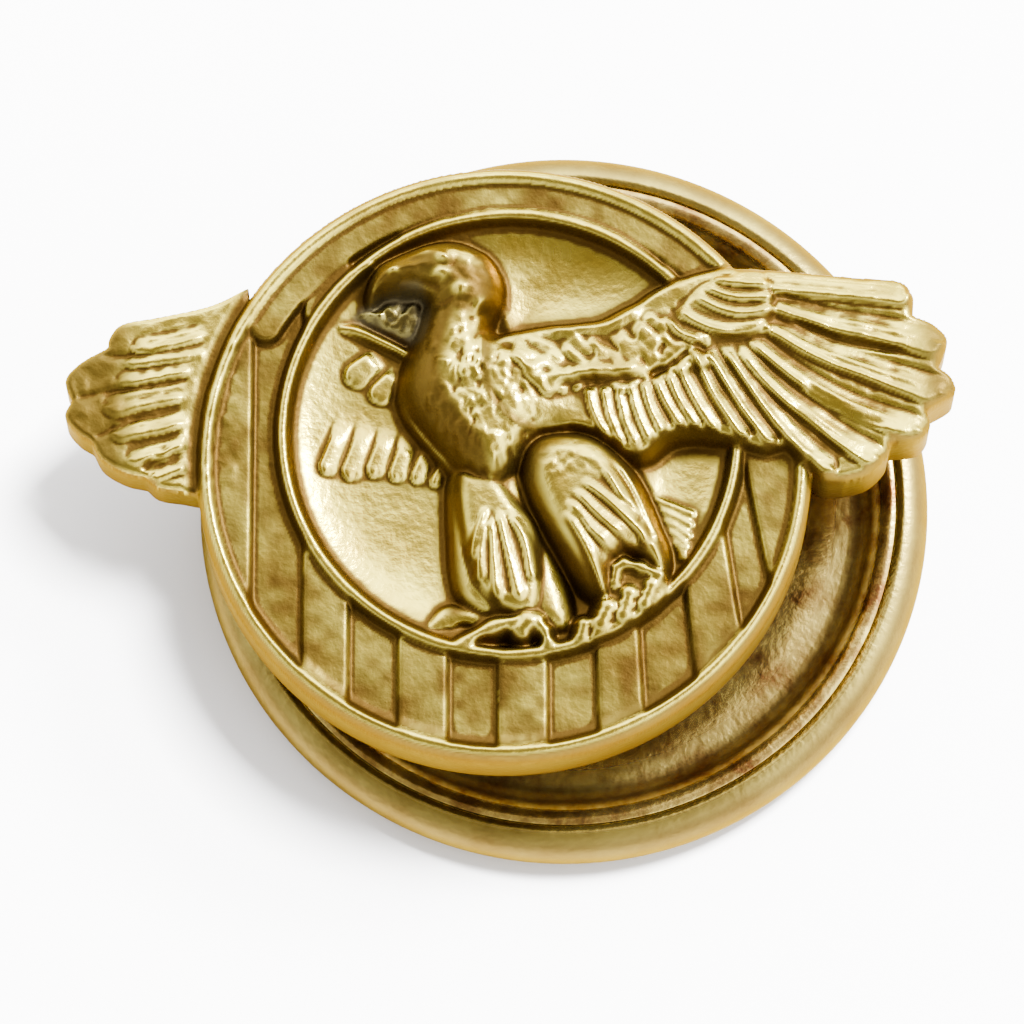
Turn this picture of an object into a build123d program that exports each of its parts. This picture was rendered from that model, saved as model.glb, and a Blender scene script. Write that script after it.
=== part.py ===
"""Screw-back cap badge: a struck brass emblem, a perched eagle in a striped ring, held by a dished screw nut.

Millimetres. The origin is the middle of the whole part on the flat back of the nut; +Z points to the emblem's
face and +Y to the eagle's head. Outlines on the emblem are given from the centre of its ring.
"""

import os
from math import cos, radians, sin

from build123d import *

os.makedirs("parts", exist_ok=True)

# Emblem
RING_RADIUS = 5.5
RING_X = -0.09  # the ring's centre
BACK_Z = 2.6  # the emblem's flat back
EDGE = 0.95  # thickness at the trimmed edge
LIP_INNER, LIP_OUTER, LIP_TOP = 5.2, 5.36, 1.25
BOWL_RADIUS, BOWL_X, BOWL_Y = 3.95, 0.1, 0.52  # the dished field behind the eagle
BOWL_LIP, BOWL_LIP_TOP = 0.17, 1.3
BOWL_EDGE, BOWL_FLOOR = 0.92, 0.68
SUNK, RAISED, BAND_TOP = 1.02, 1.12, 1.16  # stripe levels, and the plain band over them
STRIPE_PITCH, STRIPE_SHIFT, STRIPES = 0.845, 0.2, 13
BAND_END_Y = 2.35  # where the band ends on the left of the ring
WING_TOP = 1.42
ROOT_SHARE = 0.55  # a feather's width at its root, as a share of its width at the tip

# Screw post
POST_X = 1.0
POST_RADIUS = 1.2
THREAD_ROOT = 0.96
THREAD_PITCH = 0.45
SHANK = 0.6  # plain length behind the emblem
POST_END_Z = 0.38
FOOT_RADIUS, FOOT_THICKNESS = 1.75, 0.22
SOLDER_RADIUS, SOLDER_HEIGHT, SOLDER_EDGE = 2.3, 0.22, 0.06

# Nut
NUT_RADIUS = 6.65
SHEET = 0.2  # thickness of the shells
BEAD_RADIUS = 0.55  # the rolled rim's section
DISH_FLOOR_Z = 0.62  # front face of the dish's floor
RUNNING_GAP = 0.03
HUB_RADIUS, HUB_TOP_Z, HUB_FLANGE_RADIUS = 1.95, 1.22, 2.7

face = Plane(origin=(RING_X, 0, BACK_Z))

# Outlines on the emblem's face, from the ring's centre. A wing's edge is a run of curves from notch to notch.
LEFT_WING = [
    [(-4.6, 3.28), (-5.3, 2.94), (-6.2, 2.73), (-6.85, 2.6), (-7.08, 2.36), (-7.12, 2.16)],
    [(-7.12, 2.16), (-7.6, 1.88), (-7.87, 1.55), (-7.75, 1.17)],
    [(-7.75, 1.17), (-7.87, 0.88), (-7.65, 0.58), (-7.39, 0.41)],
    [(-7.39, 0.41), (-7.2, 0.08), (-6.8, -0.16), (-6.42, -0.25)],
    [(-6.42, -0.25), (-6.2, -0.43), (-5.8, -0.5), (-5.2, -0.57)],
]
RIGHT_WING = [
    [(0.0, 2.45), (0.64, 2.52), (1.7, 2.58), (2.43, 2.93), (3.4, 3.49), (4.1, 3.62), (4.9, 3.53)],
    [(4.9, 3.53), (6.3, 3.41), (7.1, 3.34), (7.33, 3.1), (7.34, 2.7)],
    [(7.34, 2.7), (7.72, 2.54), (7.95, 2.25), (7.79, 1.75)],
    [(7.79, 1.75), (8.02, 1.55), (8.05, 1.25), (7.56, 0.94)],
    [(7.56, 0.94), (7.62, 0.66), (7.42, 0.4), (6.9, 0.32)],
    [(6.9, 0.32), (6.82, 0.05), (6.5, -0.16), (6.06, -0.16)],
    [(6.06, -0.16), (5.65, -0.3), (5.29, 0.17), (5.05, 0.33), (4.66, 0.12)],
    [(4.66, 0.12), (4.1, 0.33), (3.4, 0.53), (2.95, 0.45)],
    [(2.95, 0.45), (2.43, 0.06), (1.95, 0.28), (1.6, 0.42), (0.9, 0.42)],
]
BODY = [
    (-0.1, 2.9), (-1.4, 3.1), (-1.62, 2.2), (-1.82, 1.5), (-1.7, 0.9), (-1.3, 0.4),
    (-0.4, -0.28), (0.15, -0.35), (0.7, 0.1), (1.3, 0.9), (1.3, 1.9), (0.5, 2.5),
]

# Feathers: root, tip, width at the tip. The right wing's run from its wrist, the left wing's from the ring.
RIGHT_PRIMARIES = [
    ((5.0, 3.2), (7.1, 3.1), 0.5),
    ((5.0, 2.8), (7.7, 2.3), 0.52),
    ((4.9, 2.4), (7.8, 1.35), 0.5),
    ((4.6, 2.1), (7.3, 0.72), 0.46),
    ((4.2, 1.9), (6.6, 0.16), 0.44),
    ((3.8, 1.7), (5.9, 0.0), 0.36),
]
SECONDARIES = [
    ((3.45, 1.7), (5.05, 0.52), 0.34),
    ((3.1, 1.6), (4.45, 0.4), 0.34),
    ((2.75, 1.5), (3.85, 0.58), 0.34),
    ((2.4, 1.4), (3.3, 0.66), 0.32),
]
COVERTS = [((1.35 + 0.27 * i, 1.3), (1.5 + 0.28 * i, 0.5 - 0.06 * i), 0.2) for i in range(5)]
WRIST = [((3.0, 2.75), (4.7, 3.05), 0.42), ((2.95, 2.45), (4.65, 2.65), 0.4), ((3.1, 2.15), (4.3, 2.3), 0.36)]
LEFT_FEATHERS = [
    ((-5.3, 2.6), (-6.9, 2.35), 0.45),
    ((-5.4, 2.0), (-7.6, 1.55), 0.5),
    ((-5.45, 1.35), (-7.55, 0.85), 0.46),
    ((-5.45, 0.75), (-7.05, 0.15), 0.42),
    ((-5.4, 0.1), (-6.2, -0.22), 0.36),
]

# The eagle's rounded forms: centre (x, y, height), length, width, direction in degrees.
BREAST = ((-0.35, 1.25, 1.0), 3.6, 1.9, 115)
NECK = ((-0.75, 2.7, 1.1), 2.2, 1.3, 95)
HEAD = ((-0.85, 3.5, 1.25), 1.6, 1.3, 5)
BEAK = ((-1.85, 3.45, 1.25), 0.9, 0.5, 20)
SHOULDER = ((0.75, 1.75, 1.05), 3.2, 1.7, 12)
NEAR_THIGH = ((1.4, -0.75, 1.0), 3.2, 1.5, 128)
FAR_THIGH = ((0.2, -1.5, 0.85), 2.9, 1.25, 115)
SHANKS = [(2.15, -2.0, 125), (0.75, -2.6, 115)]  # x, y, direction
TOES = [
    (1.75, -2.75, 60), (2.15, -2.6, 45), (2.6, -2.4, 35),
    (-0.9, -2.9, 30), (0.0, -3.05, 5), (0.45, -3.1, -15),
]


def runs_face(runs, height):
    """The flat area enclosed by a chain of curves, at a height above the emblem's back."""
    with BuildSketch(face.offset(height)) as area:
        with BuildLine():
            for run in runs:
                Spline(*run)
            Line(runs[-1][-1], runs[0][0])
        make_face()
    return area.sketch


def ellipsoid(centre, length, width, angle):
    """A rounded form: its centre (x, y, height), its size along and across, and its direction in degrees."""
    along = (cos(radians(angle)), sin(radians(angle)), 0)
    across = (sin(radians(angle)), -cos(radians(angle)), 0)
    middle = (RING_X + centre[0], centre[1], BACK_Z + centre[2])
    with BuildSketch(Plane(origin=middle, x_dir=along, z_dir=across)) as section:
        with BuildLine():
            EllipticalCenterArc((0, 0), length / 2, width / 2, start_angle=0, arc_size=180)
            Line((-length / 2, 0), (length / 2, 0))
        make_face()
    revolve(section.sketch, axis=Axis(middle, along))


def feather(root, tip, width, low, high):
    """A flat blade with a round tip and a narrower root, standing from one height to another."""
    root, tip = Vector(*root), Vector(*tip)
    along = (tip - root).normalized() * (width / 2)
    across = Vector(-along.Y, along.X)
    with BuildSketch(face.offset(low)) as blade:
        with BuildLine():
            Line(root - across * ROOT_SHARE, tip - across)
            ThreePointArc(tip - across, tip + along, tip + across)
            Line(tip + across, root + across * ROOT_SHARE)
            Line(root + across * ROOT_SHARE, root - across * ROOT_SHARE)
        make_face()
    extrude(blade.sketch, amount=high - low)


ring_section = Plane(origin=(RING_X, 0, BACK_Z), x_dir=(1, 0, 0), z_dir=(0, -1, 0))
bowl_section = Plane(origin=(RING_X + BOWL_X, BOWL_Y, BACK_Z), x_dir=(1, 0, 0), z_dir=(0, -1, 0))
bowl_axis = Axis((RING_X + BOWL_X, BOWL_Y, 0), (0, 0, 1))

# One struck piece: ring, field, wings and eagle.
with BuildPart() as emblem:
    with BuildSketch(ring_section):
        with BuildLine():
            Line((0, 0), (RING_RADIUS, 0))
            Line((RING_RADIUS, 0), (RING_RADIUS, EDGE))
            TangentArc((RING_RADIUS, EDGE), (LIP_OUTER - 0.08, LIP_TOP), tangent=(0, 1))
            Line((LIP_OUTER - 0.08, LIP_TOP), (LIP_INNER, SUNK))
            Line((LIP_INNER, SUNK), (0, SUNK))
            Line((0, SUNK), (0, 0))
        make_face()
    revolve(axis=Axis((RING_X, 0, 0), (0, 0, 1)))
    extrude(runs_face(LEFT_WING, 0), amount=EDGE + 0.08)

    # Raised stripes are every second one, cut to the field between the two lips.
    with BuildSketch(face.offset(SUNK - 0.1)):
        for i in range(0, STRIPES, 2):
            with Locations(((i - (STRIPES - 1) / 2) * STRIPE_PITCH + STRIPE_SHIFT, 0)):
                Rectangle(STRIPE_PITCH, 2 * RING_RADIUS)
        Circle(LIP_INNER + 0.03, mode=Mode.INTERSECT)
        with Locations((BOWL_X, BOWL_Y)):
            Circle(BOWL_RADIUS, mode=Mode.SUBTRACT)
    extrude(amount=RAISED - SUNK + 0.1)

    # The plain band over the top of the ring, with a round end on its left.
    with BuildSketch(face.offset(SUNK - 0.1)):
        Circle(LIP_INNER + 0.02)
        with Locations((0, BAND_END_Y)):
            Rectangle(2 * RING_RADIUS, RING_RADIUS, align=(Align.CENTER, Align.MIN), mode=Mode.INTERSECT)
        with Locations((-4.3, BAND_END_Y)):
            Circle(0.42)
        with Locations((BOWL_X, BOWL_Y)):
            Circle(BOWL_RADIUS + 0.02, mode=Mode.SUBTRACT)
    extrude(amount=BAND_TOP - SUNK + 0.1)

    # The inner lip, then the dished field cut inside it.
    with BuildSketch(bowl_section):
        with BuildLine():
            Line((BOWL_RADIUS - 0.4, 0.5), (BOWL_RADIUS + BOWL_LIP, 0.5))
            Line((BOWL_RADIUS + BOWL_LIP, 0.5), (BOWL_RADIUS + BOWL_LIP, SUNK + 0.16))
            TangentArc(
                (BOWL_RADIUS + BOWL_LIP, SUNK + 0.16), (BOWL_RADIUS + 0.05, BOWL_LIP_TOP), tangent=(0, 1)
            )
            Line((BOWL_RADIUS + 0.05, BOWL_LIP_TOP), (BOWL_RADIUS - 0.4, BOWL_LIP_TOP))
            Line((BOWL_RADIUS - 0.4, BOWL_LIP_TOP), (BOWL_RADIUS - 0.4, 0.5))
        make_face()
    revolve(axis=bowl_axis)
    with BuildSketch(bowl_section):
        with BuildLine():
            Line((0, 3), (0, BOWL_FLOOR))
            rise = (BOWL_RADIUS * 0.6, BOWL_FLOOR + 0.07)
            ThreePointArc((0, BOWL_FLOOR), rise, (BOWL_RADIUS - 0.1, BOWL_EDGE))
            Line((BOWL_RADIUS - 0.1, BOWL_EDGE), (BOWL_RADIUS, 3))
            Line((BOWL_RADIUS, 3), (0, 3))
        make_face()
    revolve(axis=bowl_axis, mode=Mode.SUBTRACT)

    # Wings.
    extrude(runs_face(RIGHT_WING, 0), amount=WING_TOP)
    for step, (root, tip, width) in enumerate(RIGHT_PRIMARIES):
        feather(root, tip, width, WING_TOP - 0.05, WING_TOP + 0.12 + 0.02 * step)
    for step, (root, tip, width) in enumerate(SECONDARIES):
        feather(root, tip, width, WING_TOP - 0.05, WING_TOP + 0.2 + 0.02 * step)
    for root, tip, width in COVERTS:
        feather(root, tip, width, WING_TOP - 0.05, WING_TOP + 0.2)
    for step, (root, tip, width) in enumerate(WRIST):
        feather(root, tip, width, WING_TOP - 0.05, WING_TOP + 0.34 - 0.03 * step)
    for step, (root, tip, width) in enumerate(LEFT_FEATHERS):
        feather(root, tip, width, EDGE, EDGE + 0.24 - 0.02 * step)

    # Eagle: body, head with its beak, thighs, shanks and toes.
    with BuildSketch(face.offset(BOWL_FLOOR - 0.1)) as body_slab:
        with BuildLine():
            Spline(*BODY, BODY[0])
        make_face()
    extrude(body_slab.sketch, amount=WING_TOP - BOWL_FLOOR + 0.1)
    for centre, length, width, angle in (BREAST, NECK, HEAD, BEAK, SHOULDER, NEAR_THIGH, FAR_THIGH):
        ellipsoid(centre, length, width, angle)
    for x, y, angle in SHANKS:
        ellipsoid((x, y, 1.1), 1.1, 0.5, angle)
    for x, y, angle in TOES:
        ellipsoid((x, y, 1.15), 0.85, 0.36, angle)
emblem.part.label = "emblem"

post_axis = Axis((POST_X, 0, 0), (0, 0, 1))
post_section = Plane(origin=(POST_X, 0, 0), x_dir=(1, 0, 0), z_dir=(0, -1, 0))  # radius across, height up

# The stud that passes through the cap: a foot, a plain shank and a right-hand thread.
with BuildPart() as screw_post:
    with BuildSketch(post_section):
        with BuildLine():
            Polyline(
                (0, BACK_Z),
                (FOOT_RADIUS, BACK_Z),
                (FOOT_RADIUS, BACK_Z - FOOT_THICKNESS),
                (POST_RADIUS, BACK_Z - FOOT_THICKNESS),
                (POST_RADIUS, BACK_Z - SHANK),
                (THREAD_ROOT, BACK_Z - SHANK - 0.12),
                (THREAD_ROOT, POST_END_Z + 0.12),
                (THREAD_ROOT - 0.12, POST_END_Z),
                (0, POST_END_Z),
                (0, BACK_Z),
            )
        make_face()
    revolve(axis=post_axis)
    thread_low = POST_END_Z + 0.3
    with BuildLine() as thread_path:
        Helix(
            pitch=THREAD_PITCH,
            height=BACK_Z - SHANK - 0.02 - thread_low,
            radius=THREAD_ROOT,
            center=(POST_X, 0, thread_low),
        )
    with BuildSketch(Plane(origin=thread_path.line @ 0, x_dir=(1, 0, 0), z_dir=thread_path.line % 0)):
        with BuildLine():
            crest = POST_RADIUS - THREAD_ROOT
            Polyline((-0.05, -0.19), (crest, -0.04), (crest, 0.04), (-0.05, 0.19), (-0.05, -0.19))
        make_face()
    sweep(path=thread_path.line, is_frenet=True)
screw_post.part.label = "screw_post"

# Solder run round the foot of the post.
with BuildPart() as post_solder:
    with BuildSketch(post_section):
        with BuildLine():
            Polyline(
                (FOOT_RADIUS, BACK_Z),
                (SOLDER_RADIUS, BACK_Z),
                (SOLDER_RADIUS, BACK_Z - SOLDER_EDGE),
                (FOOT_RADIUS, BACK_Z - SOLDER_HEIGHT),
                (FOOT_RADIUS, BACK_Z),
            )
        make_face()
    revolve(axis=post_axis)
post_solder.part.label = "post_solder"

# The nut's tapped hub, held by a flange between the two shells. Its bore is plain, just over the thread.
with BuildPart() as nut_hub:
    bore = POST_RADIUS + RUNNING_GAP
    flange_low, flange_high = SHEET + RUNNING_GAP, DISH_FLOOR_Z - SHEET - RUNNING_GAP
    with BuildSketch(post_section):
        with BuildLine():
            Polyline(
                (bore + 0.1, 0.02),
                (HUB_RADIUS, 0.02),
                (HUB_RADIUS, flange_low),
                (HUB_FLANGE_RADIUS, flange_low),
                (HUB_FLANGE_RADIUS, flange_high),
                (HUB_RADIUS, flange_high),
                (HUB_RADIUS, HUB_TOP_Z - 0.15),
                (HUB_RADIUS - 0.15, HUB_TOP_Z),
                (bore + 0.1, HUB_TOP_Z),
                (bore, HUB_TOP_Z - 0.1),
                (bore, 0.12),
                (bore + 0.1, 0.02),
            )
        make_face()
    revolve(axis=post_axis)
nut_hub.part.label = "nut_hub"

rim_centre = NUT_RADIUS - BEAD_RADIUS  # the middle of the rolled rim's section
rim_inside = BEAD_RADIUS - SHEET

# The back shell: a flat back, rolled round the outside of the rim up to a seam along its crest.
with BuildPart() as nut_back_shell:
    with BuildSketch(post_section):
        with BuildLine():
            Line((HUB_RADIUS + RUNNING_GAP, 0), (rim_centre, 0))
            ThreePointArc((rim_centre, 0), (NUT_RADIUS, BEAD_RADIUS), (rim_centre, 2 * BEAD_RADIUS))
            seam_low = 2 * BEAD_RADIUS - SHEET
            Line((rim_centre, 2 * BEAD_RADIUS), (rim_centre, seam_low))
            ThreePointArc((rim_centre, seam_low), (rim_centre + rim_inside, BEAD_RADIUS), (rim_centre, SHEET))
            Line((rim_centre, SHEET), (HUB_RADIUS + RUNNING_GAP, SHEET))
            Line((HUB_RADIUS + RUNNING_GAP, SHEET), (HUB_RADIUS + RUNNING_GAP, 0))
        make_face()
    revolve(axis=post_axis)
nut_back_shell.part.label = "nut_back_shell"

# The front dish: a floor round the hub, turned up to meet the back shell at the seam.
with BuildPart() as nut_dish:
    with BuildSketch(post_section):
        with BuildLine():
            low = DISH_FLOOR_Z - SHEET
            lip = (rim_centre - 0.02, 2 * BEAD_RADIUS - 0.02)
            lip_under = (rim_centre - 0.02, 2 * BEAD_RADIUS - 0.02 - SHEET)
            bend = rim_centre - BEAD_RADIUS - 0.1
            Line((HUB_RADIUS + RUNNING_GAP, low), (bend, low))
            ThreePointArc((bend, low), (rim_centre - 0.3, DISH_FLOOR_Z + 0.08), lip_under)
            Line(lip_under, lip)
            ThreePointArc(lip, (rim_centre - 0.42, DISH_FLOOR_Z + 0.27), (bend, DISH_FLOOR_Z))
            Line((bend, DISH_FLOOR_Z), (HUB_RADIUS + RUNNING_GAP, DISH_FLOOR_Z))
            Line((HUB_RADIUS + RUNNING_GAP, DISH_FLOOR_Z), (HUB_RADIUS + RUNNING_GAP, low))
        make_face()
    revolve(axis=post_axis)
nut_dish.part.label = "nut_dish"

for made in (emblem, screw_post, post_solder, nut_hub, nut_dish, nut_back_shell):
    export_step(made.part, f"parts/{made.part.label}.step")
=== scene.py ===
"""The look of a screw-back cap badge: a struck brass eagle emblem over a dished round nut.

Lengths below are in millimetres and are turned into metres as each mesh is made. The emblem's relief is
worked out as heights over its flat back, and its outlines are given from the centre of its ring.
"""

import math

import bpy
import numpy as np
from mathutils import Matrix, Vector


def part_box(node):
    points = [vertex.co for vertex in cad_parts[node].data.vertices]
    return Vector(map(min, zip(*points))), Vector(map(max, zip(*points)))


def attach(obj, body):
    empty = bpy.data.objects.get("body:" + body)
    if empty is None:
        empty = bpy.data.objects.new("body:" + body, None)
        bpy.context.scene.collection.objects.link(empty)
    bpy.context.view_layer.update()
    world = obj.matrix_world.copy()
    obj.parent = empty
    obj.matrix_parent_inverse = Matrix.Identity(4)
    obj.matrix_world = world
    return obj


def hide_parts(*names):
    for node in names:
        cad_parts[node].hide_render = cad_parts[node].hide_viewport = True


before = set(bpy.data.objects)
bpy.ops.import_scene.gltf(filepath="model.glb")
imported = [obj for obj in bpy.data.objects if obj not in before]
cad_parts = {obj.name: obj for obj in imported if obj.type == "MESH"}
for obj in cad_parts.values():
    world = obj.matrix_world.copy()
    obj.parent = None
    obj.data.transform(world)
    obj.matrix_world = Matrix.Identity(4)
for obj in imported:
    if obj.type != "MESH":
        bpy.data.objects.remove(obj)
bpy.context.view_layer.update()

MM = 0.001
CURVE_STEPS = 10  # points to each span of a curve


def box_mm(node):
    """A CAD node's lowest and highest corner in millimetres."""
    low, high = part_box(node)
    return np.array(low) / MM, np.array(high) / MM


POST_OFFSET = 1.09  # the post stands this far right of the ring's centre

# Places taken from the CAD frame
NUT_LOW, NUT_HIGH = box_mm("nut_back_shell")
DISH_LOW = box_mm("nut_dish")[0]
EMBLEM_LOW, EMBLEM_HIGH = box_mm("emblem")
POST_X = (NUT_LOW[0] + NUT_HIGH[0]) / 2
RING_X = POST_X - POST_OFFSET
BACK_Z = EMBLEM_LOW[2]

# Emblem: levels over its back, radii and places from the ring's centre
GRID = 0.032  # the mesh's pitch
DRAFT, DRAFT_STEPS = 3.2, 14  # the steepest wall, as rise over run, and how many grid steps it reaches
RING_RADIUS = (EMBLEM_HIGH[1] - EMBLEM_LOW[1]) / 2
EDGE = 0.95  # thickness at the trimmed edge
LIP_CREST, LIP_CREST_RADIUS, LIP_FOOT_RADIUS = 1.27, 5.3, 5.17
SUNK, RAISED, BAND = 0.98, 1.11, 1.16  # stripe levels, and the plain band over them
BOWL_X, BOWL_Y, BOWL_RADIUS = 0.1, 0.526, 4.09
BOWL_LIP_TOP, BOWL_LIP_WIDTH = 1.26, 0.13
BOWL_FLOOR, BOWL_EDGE = 0.68, 1.02
STRIPE_EDGES = (-4.5, -3.6, -2.76, -1.9, -0.99, -0.13, 0.77, 1.58, 2.32, 3.14, 3.97, 4.57)
STRIPE_FAN = 0.028  # how much the stripes right of the middle lean out, for each millimetre from it
BAND_FOOT, BAND_TIP, BAND_TIP_RADIUS = 4.68, (-4.28, 2.52), 0.29

# Nut: flat slices round its turned shells, the sheet's thickness, and the hole that holds the hub
SLICES = 192
SHEET = 0.2
HUB_HOLE = 1.98

# Light and surface
EDGE_TINT = (0.78, 0.62, 0.34, 1)  # of light that skims the metal
# The brown of tarnish, also used as painted shade
TARNISH_AND_SHADE = (0.05, 0.02, 0.005)  # brown
TARNISH_AND_SHADE_SHARE = 0.97  # how much of the metal's own colour it can hide
TARNISH_AND_SHADE_ROUGH = 0.5
GRIME = (0.1, 0.09, 0.05)  # dark grey dirt
MOTTLE_WIDTH = 0.3  # how gradually the brass's two tones meet
GRAIN_SIZE, GRAIN_HEIGHT = 1 / 9, 0.02
DARK = (-0.12, -0.22, 1.0)  # towards the dark patch
WINDOW = (0.6, 0.6, 0.5)  # towards the brightest side
# The room's level at angles in degrees from the dark patch
ROOM_LEVELS = ((90, 0.8), (70, 1.3), (56, 1.4), (45, 0.8), (36, 0.34), (27, 0.17), (0, 0.1))
ROOM_STRENGTH = 2.0
FAR_SHARE, WINDOW_SHARE = 0.85, 2.7  # the room's strength away from the brightest side, and towards it

# Outlines of the two wings, as runs of curves that meet in corners
LEFT_WING = [
    [(-4.6, 3.28), (-5.3, 2.94), (-6.2, 2.73), (-6.85, 2.6), (-7.08, 2.36), (-7.12, 2.16)],
    [(-7.12, 2.16), (-7.6, 1.88), (-7.87, 1.55), (-7.75, 1.17)],
    [(-7.75, 1.17), (-7.87, 0.88), (-7.65, 0.58), (-7.39, 0.41)],
    [(-7.39, 0.41), (-7.2, 0.08), (-6.8, -0.16), (-6.42, -0.25)],
    [(-6.42, -0.25), (-6.2, -0.43), (-5.8, -0.5), (-5.2, -0.57), (-4.6, -0.3)],
]
RIGHT_WING = [
    [(-0.3, 2.1), (0.1, 2.32), (0.73, 2.45), (1.18, 2.48), (1.71, 2.56), (2.07, 2.74), (2.43, 2.93)],
    [(2.43, 2.93), (2.7, 3.13), (3.0, 3.28), (3.5, 3.45), (4.1, 3.56), (4.9, 3.53)],
    [(4.9, 3.53), (6.3, 3.41), (7.1, 3.34), (7.33, 3.1), (7.34, 2.7)],
    [(7.34, 2.7), (7.72, 2.54), (7.95, 2.25), (7.79, 1.75)],
    [(7.79, 1.75), (8.02, 1.55), (8.05, 1.25), (7.56, 0.94)],
    [(7.56, 0.94), (7.62, 0.66), (7.42, 0.4), (6.9, 0.32)],
    [(6.9, 0.32), (6.82, 0.05), (6.5, -0.25), (6.06, -0.38)],
    [(6.06, -0.38), (5.65, -0.34), (5.29, 0.02), (5.02, 0.2), (4.66, 0.12)],
    [(4.66, 0.12), (4.1, 0.3), (3.4, 0.45), (2.95, 0.36), (2.61, 0.08)],
    [(2.61, 0.08), (2.4, 0.0), (2.1, 0.05), (1.75, 0.3), (1.3, 0.5), (0.6, 0.5)],
    [(0.6, 0.5), (0.1, 0.7), (-0.3, 1.3), (-0.3, 2.1)],
]


def smooth(low, high, value):
    """0 below low, 1 above high and a smooth ramp between them."""
    t = np.clip((value - low) / (high - low), 0, 1)
    return t * t * (3 - 2 * t)


def curve(points, steps=CURVE_STEPS):
    """A smooth line through the given points."""
    p = np.array(points, float)
    if len(p) < 3:
        return p
    ends = np.vstack([2 * p[0] - p[1], p, 2 * p[-1] - p[-2]])
    t = np.linspace(0, 1, steps, endpoint=False)[:, None]
    spans = []
    for a, b, c, d in zip(ends, ends[1:], ends[2:], ends[3:]):
        square, cube = 2 * a - 5 * b + 4 * c - d, 3 * b - 3 * c + d - a
        spans.append(0.5 * (2 * b + (c - a) * t + square * t**2 + cube * t**3))
    return np.vstack(spans + [p[-1:]])


def closed(points):
    """A smooth closed line through the given points."""
    line = curve(points[-2:] + points + points[:2])
    return line[2 * CURVE_STEPS : (2 + len(points)) * CURVE_STEPS]


def outline_of(runs):
    """One closed line from a chain of curves that meet in corners."""
    return np.vstack([curve(run)[:-1] for run in runs])


def follow(x, y, line):
    """Each point's share of the way along a line, its distance from it and its side (left is +1)."""
    line = np.asarray(line, float)
    spans = np.diff(line, axis=0)
    lengths = np.hypot(spans[:, 0], spans[:, 1])
    total, gone = lengths.sum(), 0.0
    best = np.full(x.shape, 1e9)
    share, side = np.zeros(x.shape), np.ones(x.shape)
    for (ax, ay), (dx, dy), length in zip(line[:-1], spans, lengths):
        if length < 1e-9:
            continue
        t = np.clip(((x - ax) * dx + (y - ay) * dy) / length**2, 0, 1)
        d = (x - ax - t * dx) ** 2 + (y - ay - t * dy) ** 2
        nearer = d < best
        best = np.where(nearer, d, best)
        share = np.where(nearer, (gone + t * length) / total, share)
        side = np.where(nearer, np.sign(dx * (y - ay) - dy * (x - ax)), side)
        gone += length
    return share, np.sqrt(best), side


def depth_in(x, y, line):
    """How far each point is inside a closed line; negative outside it."""
    line = np.asarray(line, float)
    after = np.roll(line, -1, axis=0)
    inside = np.zeros(x.shape, bool)
    for (ax, ay), (bx, by) in zip(line, after):
        if ay != by:
            crosses = (ay > y) != (by > y)
            inside ^= crosses & (x < (bx - ax) * (y - ay) / (by - ay) + ax)
    distance = follow(x, y, np.vstack([line, line[:1]]))[1]
    return np.where(inside, distance, -distance)


def noise(x, y, size, seed):
    """Smooth random values from -1 to 1 whose patches are about this size."""
    cells = np.random.default_rng(seed).uniform(-1, 1, (128, 128))
    u, v = x / size + 37.3, y / size + 41.7
    i, j = np.floor(u).astype(int), np.floor(v).astype(int)
    fu, fv = smooth(0, 1, u - i), smooth(0, 1, v - j)

    def at(a, b):
        return cells[(i + a) % 128, (j + b) % 128]

    return (at(0, 0) * (1 - fu) + at(1, 0) * fu) * (1 - fv) + (at(0, 1) * (1 - fu) + at(1, 1) * fu) * fv


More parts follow.
